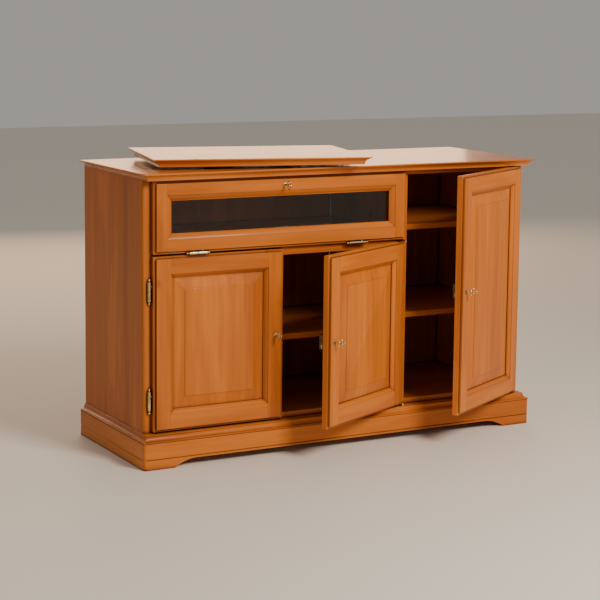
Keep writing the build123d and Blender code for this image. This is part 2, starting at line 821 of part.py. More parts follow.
def hinge_half(axis_plane, up, stem_plane, stem_at, stem_out, bore):
    """Half a barrel hinge with a ball finial, and the stem that screws into the wood."""
    turn = Plane(origin=axis_plane.origin, x_dir=axis_plane.x_dir, z_dir=axis_plane.z_dir * up)
    axis = Axis(turn.origin, turn.y_dir)
    top = barrel_length
    neck_top = top + neck_long
    ball_centre = neck_top + sqrt(ball_radius**2 - neck_radius**2)
    with BuildPart() as half:
        with BuildSketch(turn):
            with BuildLine():
                side = Polyline(
                    (0, knuckle_gap / 2), (barrel_radius, knuckle_gap / 2),
                    (barrel_radius, top - barrel_chamfer), (barrel_radius - barrel_chamfer, top),
                    (neck_radius, top), (neck_radius, neck_top),
                )
                ball = ThreePointArc(
                    side @ 1, (ball_radius, ball_centre), (0, ball_centre + ball_radius)
                )
                Line(ball @ 1, side @ 0)
            make_face()
        revolve(axis=axis)
        with BuildSketch(Plane(origin=stem_at, x_dir=axis.direction, z_dir=stem_plane)):
            Circle(stem_radius)
        extrude(amount=stem_out)
        with BuildSketch(Plane(origin=turn.origin, x_dir=turn.x_dir, z_dir=turn.y_dir)):
            Circle(bore)
        extrude(amount=pin_reach, mode=Mode.SUBTRACT)
    return half.part


def pivot_leaf(plane, bottom, mode):
    """Brass leaf let into the end of the middle door, its back edge clear of the stile it swings past."""
    pivot_x = small_width - pivot_in
    with BuildSketch(edge_plane(plane, "x", "-y", 0, bottom, 0)) as leaf:
        with Locations((small_width, leaf_clear)):
            Rectangle(leaf_long, lip_back - leaf_clear, align=(Align.MAX, Align.MIN))
        with Locations((pivot_x, leaf_clear)):
            Rectangle(2 * leaf_radius, door_board - leaf_clear, align=(Align.CENTER, Align.MIN))
        with Locations((pivot_x, door_board)):
            Circle(leaf_radius)
    extrude(leaf.sketch, amount=-leaf_board, mode=mode)


# ---------------------------------------------------------------- the three doors

hinge_frame_halves = []
hinge_pins = []


def upright_hinges(plane, door_width, axis, levels, left):
    """Hinges of a door hung on a side: the door halves come back, the rest is collected."""
    door_halves = []
    sign = 1 if left else -1
    edge = 0 if left else door_width
    for level in levels:
        centre = (axis[0], axis[1], level)
        axis_plane = Plane(origin=centre, x_dir=(1, 0, 0), z_dir=(0, -1, 0))
        low_at = (axis[0], axis[1] + pin_radius, level - lower_stem)
        hinge_frame_halves.append(
            hinge_half(axis_plane, -1, (0, 1, 0), low_at,
                       hinge_proud - pin_radius + stem_depth - stem_spare, pin_radius)
        )
        inward = plane.x_dir * sign
        start = Vector(*centre) + Vector(0, 0, lower_stem) + inward * (pin_radius + pin_play)
        door_halves.append(
            hinge_half(axis_plane, 1, inward, start,
                       hinge_side - pin_radius + stem_depth - stem_spare, pin_radius + pin_play)
        )
        with BuildPart() as pin:
            with BuildSketch(Plane(origin=(axis[0], axis[1], level - pin_reach))):
                Circle(pin_radius)
            extrude(amount=2 * pin_reach - stem_spare)
        hinge_pins.append(pin.part)
    return door_halves


def door(name, plane, door_width, door_height, hinged_left, levels, key_x, key_y, lock_edge, reach):
    """Frame, panel, lock, bolt and key of one door, written out under its own name."""
    stiles = [
        door_stile(plane, right, door_width, door_height, door_member, door_mould, False)
        for right in (False, True)
    ]
    rails = [
        door_rail(plane, top, door_width, door_height, door_member, door_mould, False, stiles)
        for top in (True, False)
    ]
    with BuildPart() as lock_stile:
        add(stiles[1] if hinged_left else stiles[0])
        keyhole(plane, key_x, key_y, stem_key + 1, cavity_radius, door_board)
    with BuildPart() as hinge_stile:
        add(stiles[0] if hinged_left else stiles[1])
        for level in levels:
            stem_hole(plane, 0 if hinged_left else door_width, level + lower_stem - door_bottom,
                      hinge_proud, "x" if hinged_left else "-x")
        if not levels:
            for leaf_bottom in (0, door_height - leaf_board):
                pivot_leaf(plane, leaf_bottom, Mode.SUBTRACT)
    panel = raised_panel(plane, door_width, door_height)
    lock, bolt, key = lock_parts(plane, key_x, key_y, lock_edge, reach)
    write(f"{name}_door_stiles", hinge_stile.part, lock_stile.part)
    write(f"{name}_door_rails", *rails)
    write(f"{name}_door_panel", panel.part)
    write(f"{name}_door_lock", lock)
    write(f"{name}_door_bolt", bolt)
    write(f"{name}_door_key", key)


tall_reach = key_edge - partition_show - strike_board - swing_room
door("left", left_plane, small_width, small_height, True, left_levels,
     small_width - key_edge, key_level, "x", key_edge - lock_back_off)
door("middle", middle_plane, small_width, small_height, False, (),
     key_edge, key_level, "-x", key_edge - lock_back_off)
door("tall", tall_plane, tall_width, tall_height, False, tall_levels,
     key_edge, tall_key_level, "-x", tall_reach)
write("left_door_hinges", *upright_hinges(left_plane, small_width, left_axis, left_levels, True))
write("tall_door_hinges", *upright_hinges(tall_plane, tall_width, tall_axis, tall_levels, False))

with BuildPart() as middle_pivots:
    for leaf_bottom in (0, small_height - leaf_board):
        pivot_leaf(middle_plane, leaf_bottom, Mode.ADD)
    with BuildSketch(Plane(origin=(*middle_axis, door_bottom))):
        Circle(pivot_radius + pin_play)
    extrude(amount=small_height, mode=Mode.SUBTRACT)
write("middle_door_pivots", middle_pivots.part)

with BuildPart() as pivot_frame_plates:
    for leaf_bottom in pivot_leaf_levels:
        with BuildSketch(Plane.XY.offset(leaf_bottom)):
            with Locations((middle_axis[0], carcass_front + stem_depth)):
                Rectangle(2 * leaf_radius, stem_depth + door_board, align=(Align.CENTER, Align.MAX))
            with Locations(middle_axis):
                Circle(leaf_radius)
        extrude(amount=leaf_board)
    for leaf_bottom in pivot_leaf_levels:
        with BuildSketch(Plane.XY.offset(leaf_bottom)):
            with Locations(middle_axis):
                Circle(pivot_radius)
        extrude(amount=leaf_board, mode=Mode.SUBTRACT)
write("pivot_frame_plates", pivot_frame_plates.part)

with BuildPart() as low_pivot:
    with BuildSketch(Plane(origin=(*middle_axis, carcass_bottom))):
        Circle(pivot_radius)
    extrude(amount=door_under + leaf_board)
with BuildPart() as high_pivot:
    with BuildSketch(Plane(origin=(*middle_axis, small_top - leaf_board))):
        Circle(pivot_radius)
    extrude(amount=2 * leaf_board + leaf_gap)
hinge_pins.append(low_pivot.part)
hinge_pins.append(high_pivot.part)

# ---------------------------------------------------------------- the flap

flap_stiles = [
    door_stile(flap_plane, right, flap_width, flap_height, flap_member, flap_mould, True)
    for right in (False, True)
]
flap_top_rail, flap_bottom_rail = [
    door_rail(flap_plane, top, flap_width, flap_height, flap_member, flap_mould, True, flap_stiles)
    for top in (True, False)
]
flap_key_x = flap_width / 2
flap_key_y = flap_height - key_edge_flap
flap_stem_out = lip_back + door_step / 2
with BuildPart() as keyed_rail:
    add(flap_top_rail)
    keyhole(flap_plane, flap_key_x, flap_key_y, stem_key + 1, cavity_radius, door_board)
with BuildPart() as hinged_rail:
    add(flap_bottom_rail)
    for hinge_x in flap_hinge_x:
        stem_hole(flap_plane, hinge_x + lower_stem + zone_half, door_lip, flap_stem_out, "y")
write("flap_stiles", *flap_stiles)
write("flap_rails", keyed_rail.part, hinged_rail.part)

rebate_edge = flap_member + flap_mould - groove_deep
glass_width = flap_width - 2 * (rebate_edge + 0.5)
glass_height = flap_height - 2 * (rebate_edge + 0.5)
with BuildPart() as flap_glass:
    with BuildSketch(flap_plane.offset(bead_board)):
        with Locations((flap_width / 2, flap_height / 2)):
            Rectangle(glass_width, glass_height)
    extrude(amount=glass_board)
write("flap_glass", flap_glass.part)

with BuildPart() as flap_beads:
    with BuildSketch(flap_plane):
        with Locations((rebate_edge, flap_height / 2),
                       (flap_width - rebate_edge - groove_deep, flap_height / 2)):
            Rectangle(groove_deep, flap_height - 2 * rebate_edge, align=(Align.MIN, Align.CENTER))
        with Locations((flap_width / 2, rebate_edge),
                       (flap_width / 2, flap_height - rebate_edge - groove_deep)):
            Rectangle(flap_width - 2 * (rebate_edge + groove_deep + panel_play), groove_deep,
                      align=(Align.CENTER, Align.MIN))
    extrude(amount=bead_board)
write("flap_glass_beads", flap_beads.part)

flap_reach = (carcass_top - top_rail_height - strike_board - leaf_gap) - (flap_bottom + flap_key_y)
flap_lock, flap_bolt, flap_key = lock_parts(flap_plane, flap_key_x, flap_key_y, "y", flap_reach)
write("flap_lock", flap_lock)
write("flap_bolt", flap_bolt)
write("flap_key", flap_key)

flap_halves = []
for hinge_x in flap_hinge_x:
    centre = (hinge_x, flap_axis_y, flap_axis_z)
    axis_plane = Plane(origin=centre, x_dir=(0, 0, 1), z_dir=(0, 1, 0))
    frame_stem = (hinge_x - lower_stem, flap_axis_y + pin_radius, flap_stem_z)
    frame_run = carcass_front + stem_depth - stem_spare - frame_stem[1]
    turned = Plane(origin=centre, x_dir=(0, 0, -1), z_dir=(0, 1, 0))
    hinge_frame_halves.append(hinge_half(turned, 1, (0, 1, 0), frame_stem, frame_run, pin_radius))
    flap_stem = (hinge_x + lower_stem, carcass_front - flap_stem_out, flap_axis_z + pin_radius + pin_play)
    flap_run = flap_bottom + door_lip + stem_depth - stem_spare - flap_stem[2]
    flap_halves.append(
        hinge_half(axis_plane, 1, (0, 0, 1), flap_stem, flap_run, pin_radius + pin_play)
    )
    with BuildPart() as flap_pin:
        with BuildSketch(Plane(origin=(hinge_x - pin_reach, flap_axis_y, flap_axis_z),
                               x_dir=(0, 1, 0), z_dir=(1, 0, 0))):
            Circle(pin_radius)
        extrude(amount=2 * pin_reach - stem_spare)
    hinge_pins.append(flap_pin.part)
write("flap_hinges", *flap_halves)
write("hinge_frame_halves", *hinge_frame_halves)
write("hinge_pins", *hinge_pins)

# ---------------------------------------------------------------- keepers and stays

keeper_x = middle_left - door_gap / 2
shelf_front = stile_back + shelf_play
keeper_bottom = wide_shelf_top - shelf_board + keeper_edge
bolt_top = key_z + bolt_offset + bolt_width
with BuildPart() as shelf_keeper:
    with BuildSketch(Plane.YZ.offset(keeper_x - keeper_board / 2)):
        with Locations((carcass_front + keeper_edge, keeper_bottom)):
            Rectangle(shelf_front - carcass_front - keeper_edge, bolt_top - keeper_bottom,
                      align=(Align.MIN, Align.MIN))
        with Locations((bolt_y, key_z + bolt_offset), (bolt_y, key_z - bolt_offset)):
            Rectangle(slot_across, slot_along, mode=Mode.SUBTRACT)
    extrude(amount=keeper_board)
    with BuildSketch(Plane.XZ.offset(-shelf_front)):
        with Locations((keeper_x - keeper_board / 2, keeper_bottom)):
            Rectangle(keeper_foot, wide_shelf_top - keeper_bottom, align=(Align.MIN, Align.MIN))
    extrude(amount=keeper_board)
write("shelf_keeper", shelf_keeper.part)

with BuildPart() as stile_strike:
    with BuildSketch(Plane.YZ.offset(mid_right)):
        with Locations((carcass_front + stile_depth / 2, tall_key_z - bolt_offset)):
            Rectangle(stile_depth - 2 * strike_edge, strike_long)
        with Locations((bolt_y, tall_key_z - bolt_offset)):
            Rectangle(slot_across, slot_along, mode=Mode.SUBTRACT)
    extrude(amount=strike_board)
with BuildPart() as rail_strike:
    with BuildSketch(Plane.XY.offset(carcass_top - top_rail_height)):
        with Locations((flap_mid_x - bolt_offset, carcass_front + stile_depth / 2)):
            Rectangle(strike_long, stile_depth - 2 * strike_edge)
        with Locations((flap_mid_x - bolt_offset, bolt_y)):
            Rectangle(slot_along, slot_across, mode=Mode.SUBTRACT)
    extrude(amount=-strike_board)
write("strike_plates", stile_strike.part, rail_strike.part)

stay_side = Vector(0, flap_axis_y + stay_in, flap_axis_z + stay_side_up)
stay_flap = Vector(0, flap_axis_y + stay_in, flap_axis_z + stay_flap_up)
stay_elbow = stay_side + Vector(0, stay_in, stay_flap_up)
strap_x = -stile_inner + strap_in
arm_x = strap_x + stay_plate + stay_play
link_x = arm_x + stay_plate + stay_play
flap_strap_x = link_x + stay_plate + stay_play
stay_middle = Plane.YZ.offset((mid_left - stile_inner) / 2)
block_front = stile_back + block_from_stile
strap_front = stay_side.Y - stay_half - 1


def stud(start_x, place, radius, length, mode=Mode.ADD):
    """A round stud, or a bore, along +X through the part being built."""
    with BuildSketch(Plane(origin=(start_x, place.Y, place.Z), x_dir=(0, 1, 0), z_dir=(1, 0, 0))) as disc:
        Circle(radius)
    extrude(disc.sketch, amount=length, mode=mode)


def bar(start_x, first, second):
    """A flat bar with round ends, from one pivot to another."""
    run = second - first
    across = Plane(origin=(start_x, first.Y, first.Z), x_dir=run, z_dir=(1, 0, 0))
    with BuildSketch(across) as outline:
        with Locations((run.length / 2, 0)):
            SlotCenterToCenter(run.length, 2 * stay_half)
    extrude(outline.sketch, amount=stay_plate)


with BuildPart() as side_bracket:
    with BuildSketch(Plane.YZ.offset(-inner_half)):
        with Locations((block_front, stay_side.Z)):
            Rectangle(block_long, block_tall, align=(Align.MIN, Align.CENTER))
    extrude(amount=strap_x + stay_plate + inner_half)
    with BuildSketch(Plane.YZ.offset(strap_x)):
        with Locations((strap_front, stay_side.Z)):
            Rectangle(block_front + block_long - strap_front, strap_tall, align=(Align.MIN, Align.CENTER))
    extrude(amount=stay_plate)
    stud(strap_x + stay_plate, stay_side, stay_stud, stay_plate + stay_play)
write("stay_brackets", side_bracket.part, side_bracket.part.mirror(stay_middle))

with BuildPart() as stay_arm:
    bar(arm_x, stay_side, stay_elbow)
    stud(arm_x, stay_side, stay_stud + pin_play, stay_plate, Mode.SUBTRACT)
    stud(arm_x + stay_plate, stay_elbow, stay_stud, stay_plate + stay_play)
write("stay_arms", stay_arm.part, stay_arm.part.mirror(stay_middle))

with BuildPart() as stay_link:
    bar(link_x, stay_elbow, stay_flap)
    stud(link_x, stay_elbow, stay_stud + stay_play, stay_plate, Mode.SUBTRACT)
    stud(link_x, stay_flap, stay_stud + pin_play, stay_plate, Mode.SUBTRACT)
write("stay_links", stay_link.part, stay_link.part.mirror(stay_middle))

with BuildPart() as flap_bracket:
    with BuildSketch(Plane.YZ.offset(flap_strap_x)):
        with Locations((carcass_front, stay_flap.Z)):
            Rectangle(stay_flap.Y - carcass_front + stay_half, flap_strap_tall,
                      align=(Align.MIN, Align.CENTER))
    extrude(amount=stay_plate)
    with BuildSketch(Plane.XZ.offset(-carcass_front)):
        with Locations((flap_strap_x, stay_flap.Z)):
            Rectangle(flap_foot_wide, flap_foot_tall, align=(Align.MIN, Align.CENTER))
    extrude(amount=-stay_plate)
    stud(link_x, stay_flap, stay_stud, stay_plate + stay_play)
write("flap_stay_brackets", flap_bracket.part, flap_bracket.part.mirror(stay_middle))
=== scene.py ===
# %% [markdown]
# A console television cabinet in lacquered cherry. The frame holds every board, hinge and lock at
# its real size and place, so this file gives them their finish: softened edges, wood grain that
# runs the right way on each board, aged brass, and clear glass.

# %% Load the frame
import json
import math

import bmesh
import bpy
from mathutils import Matrix, Vector


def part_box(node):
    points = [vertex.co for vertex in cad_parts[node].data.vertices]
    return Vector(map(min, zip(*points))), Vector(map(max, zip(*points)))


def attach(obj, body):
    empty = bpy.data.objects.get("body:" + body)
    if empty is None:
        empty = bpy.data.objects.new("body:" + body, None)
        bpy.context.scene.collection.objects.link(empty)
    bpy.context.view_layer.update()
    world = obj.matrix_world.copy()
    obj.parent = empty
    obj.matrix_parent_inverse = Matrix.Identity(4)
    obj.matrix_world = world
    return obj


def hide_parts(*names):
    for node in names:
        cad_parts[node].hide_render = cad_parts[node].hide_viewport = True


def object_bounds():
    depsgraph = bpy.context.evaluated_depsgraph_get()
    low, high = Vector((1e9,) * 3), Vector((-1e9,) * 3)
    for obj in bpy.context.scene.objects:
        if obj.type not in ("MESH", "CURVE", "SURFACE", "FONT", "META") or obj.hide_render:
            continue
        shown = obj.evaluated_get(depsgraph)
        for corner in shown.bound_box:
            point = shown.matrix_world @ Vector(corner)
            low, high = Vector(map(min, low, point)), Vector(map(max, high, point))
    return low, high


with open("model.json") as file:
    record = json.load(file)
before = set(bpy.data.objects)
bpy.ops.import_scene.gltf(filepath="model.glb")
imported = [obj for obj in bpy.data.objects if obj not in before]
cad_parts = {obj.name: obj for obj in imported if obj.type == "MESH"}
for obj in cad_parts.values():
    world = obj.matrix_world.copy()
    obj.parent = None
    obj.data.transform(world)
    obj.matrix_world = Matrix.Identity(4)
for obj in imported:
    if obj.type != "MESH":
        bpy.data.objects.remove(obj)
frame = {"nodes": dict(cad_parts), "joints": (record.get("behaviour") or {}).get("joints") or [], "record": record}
cad_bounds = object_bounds()
nodes = frame["nodes"]
joints = {joint["name"]: joint for joint in frame["joints"]}
print("nodes", len(nodes), "cabinet from", cad_bounds[0], "to", cad_bounds[1])

# %% [markdown]
# The camera stands to the left of the cabinet and a little above its top. A long lens keeps the
# uprights nearly parallel, and a small downward shift of the lens keeps them so without tilting
# the camera further.

# %% Camera
camera_place = Vector((-2.4705, -4.4450, 1.2518))
camera_yaw = -28.71
camera_pitch = 7.71
camera_roll = 0.62

camera_data = bpy.data.cameras.new("camera")
camera_data.sensor_width = 36.0
camera_data.lens = 105.4
camera_data.shift_y = -0.1
camera = bpy.data.objects.new("camera", camera_data)
bpy.context.scene.collection.objects.link(camera)
camera.matrix_world = (
    Matrix.Translation(camera_place)
    @ Matrix.Rotation(math.radians(camera_yaw), 4, "Z")
    @ Matrix.Rotation(math.radians(90 - camera_pitch), 4, "X")
    @ Matrix.Rotation(math.radians(camera_roll), 4, "Z")
)
bpy.context.scene.camera = camera
print("camera at", tuple(camera_place), "lens", camera_data.lens)

# %% [markdown]
# Shader maths is easier to read as arithmetic. A channel holds one socket, and adding or
# multiplying channels adds the Math nodes. Every other node comes from one method, which sets the
# node up before it fills its sockets.

# %% Shader arithmetic
class Channel:
    """A socket that can be added, subtracted, multiplied and compared."""

    def __init__(self, finish, socket):
        self.finish = finish
        self.socket = socket

    def maths(self, operation, first, second=0.0):
        return self.finish.node("ShaderNodeMath", {"operation": operation}, {0: first, 1: second})

    def __add__(self, other):
        return self.maths("ADD", self, other)

    def __radd__(self, other):
        return self.maths("ADD", other, self)

    def __sub__(self, other):
        return self.maths("SUBTRACT", self, other)

    def __rsub__(self, other):
        return self.maths("SUBTRACT", other, self)

    def __mul__(self, other):
        return self.maths("MULTIPLY", self, other)

    def __rmul__(self, other):
        return self.maths("MULTIPLY", other, self)

    def __lt__(self, other):
        return self.maths("LESS_THAN", self, other)

    def sine(self):
        return self.maths("SINE", self)

    def size(self):
        return self.maths("ABSOLUTE", self)


class Finish:
    """A material and its shader, filled in one node at a time."""

    def __init__(self, name):
        self.material = bpy.data.materials.new(name)
        self.material.use_nodes = True
        self.tree = self.material.node_tree
        self.shader = self.tree.nodes["Principled BSDF"]

    def fill(self, node, sockets):
        for key, value in sockets.items():
            if isinstance(value, Channel):
                self.tree.links.new(value.socket, node.inputs[key])
            else:
                node.inputs[key].default_value = value

    def node(self, kind, settings, sockets, out=0):
        made = self.tree.nodes.new(kind)
        for key, value in settings.items():
            if key == "stops":
                ramp = made.color_ramp.elements
                while len(ramp) < len(value):
                    ramp.new(0.5)
                for stop, (place, colour) in zip(ramp, value):
                    stop.position = place
                    stop.color = (*colour, 1.0)
            else:
                setattr(made, key, value)
        self.fill(made, sockets)
        return Channel(self, made.outputs[out])

    def mix(self, factor, first, second):
        sockets = {0: factor, 6: first, 7: second}
        return self.node("ShaderNodeMix", {"data_type": "RGBA"}, sockets, out=2)

    def either(self, factor, first, second):
        sockets = {0: factor, 4: first, 5: second}
        return self.node("ShaderNodeMix", {"data_type": "VECTOR"}, sockets, out=1)

    def noise(self, vector, scale, detail=3.0, distortion=0.0):
        sockets = {"Vector": vector, "Scale": scale, "Detail": detail, "Distortion": distortion}
        return self.node("ShaderNodeTexNoise", {}, sockets)

    def stretched(self, vector, across, along):
        sockets = {0: vector, 1: (across, across, along)}
        return self.node("ShaderNodeVectorMath", {"operation": "MULTIPLY"}, sockets)

    def bump(self, height, strength, distance):
        sockets = {"Height": height, "Strength": strength, "Distance": distance}
        return self.node("ShaderNodeBump", {}, sockets)

    def fade(self, value, full, none, most):
        """From most at one value down to nothing at another."""
        sockets = {"Value": value, "From Min": full, "From Max": none, "To Min": most, "To Max": 0.0}
        return self.node("ShaderNodeMapRange", {}, sockets)


# %% [markdown]
# Cherry is a close-grained wood. Its figure is broad and soft, its growth rings show as faint
# contour lines, and its pores are short dashes along the board. Here the rings are the contour
# lines of the broad figure, which is how a saw cut meets them. The lacquer over the wood is a coat. The quirks of
# the mouldings are painted darker: partly stain that gathers there, partly painted shade where the light can't
# reach.

# %% Cherry
ALONG_X = Vector((1, 0, 0))
ALONG_Y = Vector((0, 1, 0))
UPRIGHT = Vector((0, 0, 1))
MITRED = None
OBJECT_OUTPUT = 3
SEED_STEP = Vector((1.37, 2.11, 0.73))
FIGURE_STRETCH = (7.0, 0.9)
STREAK_STRETCH = (85.0, 3.0)
PORE_STRETCH = (620.0, 26.0)
KNOT_STRETCH = (4.2, 2.6)
RINGS_PER_FIGURE = 46.0
QUIRK_SHADE_AND_STAIN_REACH = 0.010
SATIN = 0.13
GLOSSY = 0.45
WOOD_STOPS = [
    (0.15, (0.250, 0.056, 0.008)),
    (0.42, (0.450, 0.114, 0.013)),
    (0.60, (0.580, 0.160, 0.018)),
    (0.90, (0.710, 0.240, 0.034)),
]
QUIRK_SHADE_AND_STAIN_COLOUR = (0.045, 0.012, 0.005, 1.0)
KNOT_COLOUR = (0.120, 0.034, 0.010, 1.0)


def grain_place(finish, placed, along, seed):
    """Coordinates turned so that the grain runs along Z, and moved to a fresh stretch of wood."""
    turn = along.rotation_difference(UPRIGHT).to_euler()
    sockets = {"Vector": placed, "Rotation": turn, "Location": SEED_STEP * seed}
    return finish.node("ShaderNodeMapping", {}, sockets)


def mitred_place(finish, placed, seed):
    """Grain that follows a moulding round its mitres: along X in front, along Y down the sides."""
    front = grain_place(finish, placed, ALONG_X, seed)
    side = grain_place(finish, placed, ALONG_Y, seed)
    across = finish.node("ShaderNodeSeparateXYZ", {}, {0: placed}, out=0)
    deep = finish.node("ShaderNodeSeparateXYZ", {}, {0: placed}, out=1)
    low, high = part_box("cap_moulding")
    return finish.either((high.x - across.size()) < (deep - low.y), front, side)


def cherry(name, along, seed, shade, polish):
    """Lacquered cherry with its grain along a direction. A lower shade is a darker board."""
    finish = Finish(name)
    placed = finish.node("ShaderNodeTexCoord", {}, {}, out=OBJECT_OUTPUT)
    if along is MITRED:
        place = mitred_place(finish, placed, seed)
    else:
        place = grain_place(finish, placed, along, seed)
    figure = finish.noise(finish.stretched(place, *FIGURE_STRETCH), 1.0, 3.0, 0.5)
    streaks = finish.noise(finish.stretched(place, *STREAK_STRETCH), 1.0, 4.0)
    pores = finish.noise(finish.stretched(place, *PORE_STRETCH), 1.0, 2.0)
    rings = (figure * RINGS_PER_FIGURE).sine()
    fibres = (streaks - 0.5) * 0.30 + (pores - 0.5) * 0.16
    tone = figure * 0.8 + fibres + rings * 0.03 + (shade + 0.1)
    wood = finish.node("ShaderNodeValToRGB", {"stops": WOOD_STOPS}, {"Fac": tone})
    sockets = {"Vector": finish.stretched(place, *KNOT_STRETCH), "Scale": 1.0}
    knots = finish.node("ShaderNodeTexVoronoi", {}, sockets)
    wood = finish.mix(finish.fade(knots, 0.012, 0.05, 0.8), wood, KNOT_COLOUR)
    # Painted shade and stain: ambient occlusion darkens the colour in the quirks and recesses of the mouldings.
    sockets = {"Distance": QUIRK_SHADE_AND_STAIN_REACH}
    quirk_openness_for_shade_and_stain = finish.node("ShaderNodeAmbientOcclusion", {"samples": 8}, sockets, out=1)
    colour = finish.mix(finish.fade(quirk_openness_for_shade_and_stain, 0.42, 0.94, 0.96), wood, QUIRK_SHADE_AND_STAIN_COLOUR)
    sockets = {
        "Base Color": colour,
        "Roughness": 0.38 + (streaks - 0.5) * 0.16,
        "Specular IOR Level": 0.14,
        "Normal": finish.bump(pores + streaks * 0.5, 0.35, 0.00012),
        "Coat Weight": polish,
        "Coat Roughness": 0.12,
    }
    finish.fill(finish.shader, sockets)
    return finish.material


# %% [markdown]
# The brass is old: bright in patches and browner in others, which a broad noise decides, and a
# fine noise roughens it a little. The lock cases are dark bronze, the stays and the ball race are
# plated steel, and the pane is plain float glass.

# %% Metals and glass
def metal(name, bright, dull, roughness, grain=90.0):
    finish = Finish(name)
    placed = finish.node("ShaderNodeTexCoord", {}, {}, out=OBJECT_OUTPUT)
    patches = finish.noise(placed, grain, 4.0)
    fine = finish.noise(placed, grain * 9.0, 2.0)
    patina = finish.node(
        "ShaderNodeMapRange",
        {},
        {"Value": patches, "From Min": 0.42, "From Max": 0.68, "To Min": 0.0, "To Max": 0.75},
    )
    sockets = {
        "Base Color": finish.mix(patina, (*bright, 1.0), (*dull, 1.0)),
        "Metallic": 1.0,
        "Roughness": roughness + patina * 0.18 + (fine - 0.5) * 0.10,
        "Normal": finish.bump(fine, 0.25, 0.00008),
    }
    finish.fill(finish.shader, sockets)
    return finish.material


def pane_glass(name):
    finish = Finish(name)
    placed = finish.node("ShaderNodeTexCoord", {}, {}, out=OBJECT_OUTPUT)
    smears = finish.noise(placed, 14.0, 3.0)
    sockets = {
        "Base Color": (0.82, 0.90, 0.87, 1.0),
        "Roughness": 0.02 + (smears - 0.5) * 0.02,
        "Transmission Weight": 1.0,
        "IOR": 1.5,
    }
    finish.fill(finish.shader, sockets)
    return finish.material


aged_brass = metal("aged_brass", (0.78, 0.60, 0.30), (0.36, 0.24, 0.10), 0.24)
dark_bronze = metal("dark_bronze", (0.16, 0.10, 0.05), (0.07, 0.04, 0.02), 0.42)
plated_steel = metal("plated_steel", (0.62, 0.63, 0.64), (0.42, 0.42, 0.42), 0.34)
float_glass = pane_glass("float_glass")
print("metals and glass", aged_brass.name, dark_bronze.name, plated_steel.name, float_glass.name)

# %% [markdown]
# A joiner cuts each board so that its grain follows its length: upright in stiles and panels,
# level in rails and shelves. The doors that stand ajar carry their grain round with them, so the
# direction of a rail comes from the turn of its own door, and that of the plate from its own turn.

# %% Which way each board runs
def along_door(opening):
    """The direction of a door's rails, from how far the door has swung about its right edge."""
    angle = math.radians(opening)
    return Vector((math.cos(angle), math.sin(angle), 0))


PLATE_TURN = -13.0
middle_rail = along_door(-joints["middle_door_hinge"]["range_deg"][0])
tall_rail = along_door(-joints["tall_door_hinge"]["range_deg"][0])
plate_length = along_door(PLATE_TURN)
BOARDS = {
    "plinth_front": (ALONG_X, 0.0),
    "plinth_sides": (ALONG_Y, -0.02),
    "plinth_back": (ALONG_X, -0.04),
    "plinth_blocks": (UPRIGHT, -0.05),
    "cap_moulding": (MITRED, -0.03),
    "side_panel_left": (UPRIGHT, -0.04),
    "side_panel_right": (UPRIGHT, -0.02),
    "partition": (UPRIGHT, -0.04),
    "front_stiles": (UPRIGHT, -0.02),
    "front_rails": (ALONG_X, 0.0),
    "flap_rail": (ALONG_X, 0.0),
    "floor_panel": (ALONG_X, -0.06),
    "deck": (ALONG_X, -0.06),
    "wide_shelf": (ALONG_X, -0.02),
    "narrow_shelves": (ALONG_X, 0.0),
    "top_panel": (ALONG_X, 0.02),
    "left_door_stiles": (UPRIGHT, 0.0),
    "left_door_rails": (ALONG_X, 0.01),
    "left_door_panel": (UPRIGHT, 0.02),
    "middle_door_stiles": (UPRIGHT, 0.02),
    "middle_door_rails": (middle_rail, 0.02),
    "middle_door_panel": (UPRIGHT, 0.04),
    "tall_door_stiles": (UPRIGHT, 0.02),
    "tall_door_rails": (tall_rail, 0.02),
    "tall_door_panel": (UPRIGHT, 0.05),
    "flap_stiles": (UPRIGHT, 0.0),
    "flap_rails": (ALONG_X, 0.02),
    "flap_glass_beads": (ALONG_X, -0.06),
    "tv_plate": (plate_length, 0.02),
    "back_panels": (UPRIGHT, -0.16),
}
slots = {part["node"]: part["material_slot"] for part in frame["record"]["subparts"]}


def dress(node, material):
    """Gives every face of a node one finish."""
    mesh = nodes[node].data
    mesh.materials.clear()
    mesh.materials.append(material)


for seed, (board, (along, shade)) in enumerate(BOARDS.items(), start=1):
    polish = GLOSSY if board in ("top_panel", "tv_plate") else SATIN
    dress(board, cherry("cherry_" + board, along, seed, shade, polish))
for node, slot in slots.items():
    if slot == "brass":
        dress(node, aged_brass)
    elif slot == "steel":
        dress(node, plated_steel)
    elif slot == "glass":
        dress(node, float_glass)
print("boards", len(BOARDS), "other pieces", len(slots) - len(BOARDS))

# %% [markdown]
# No edge on a lacquered cabinet is knife sharp: sandpaper takes it off before the finish goes on,
# and that small round is what catches the light along every arris. A weld joins the loose faces
# of a board, and a narrow bevel then rounds only the edges that turn sharply.

# %% Softened edges
ARRIS = 0.0008
SAME_POINT = 0.00001
SHARP_TURN = math.radians(34)


def soften(node, width):
    piece = nodes[node]
    weld = piece.modifiers.new("weld", "WELD")
    weld.merge_threshold = SAME_POINT
    bevel = piece.modifiers.new("arris", "BEVEL")
    bevel.width = width
    bevel.segments = 2
    bevel.profile = 0.5
    bevel.limit_method = "ANGLE"
    bevel.angle_limit = SHARP_TURN
    bevel.use_clamp_overlap = True


for board in BOARDS:
    soften(board, ARRIS)
print("softened", len(BOARDS), "boards by", ARRIS)

# %% [markdown]
# Keys and escutcheons are the cabinet's jewellery, so they are made again as cast and turned
# brass. Each is built flat at its lock's own origin, x across the door, y up and z out of it, and
# then carried to its door. A lathe makes its parts by spinning an outline about an axis, and so do
# these helpers: one spins any outline, and one spins a circle of wire into a ring.

# %% Turned parts and rings
TURNED_MERGE = 1e-7


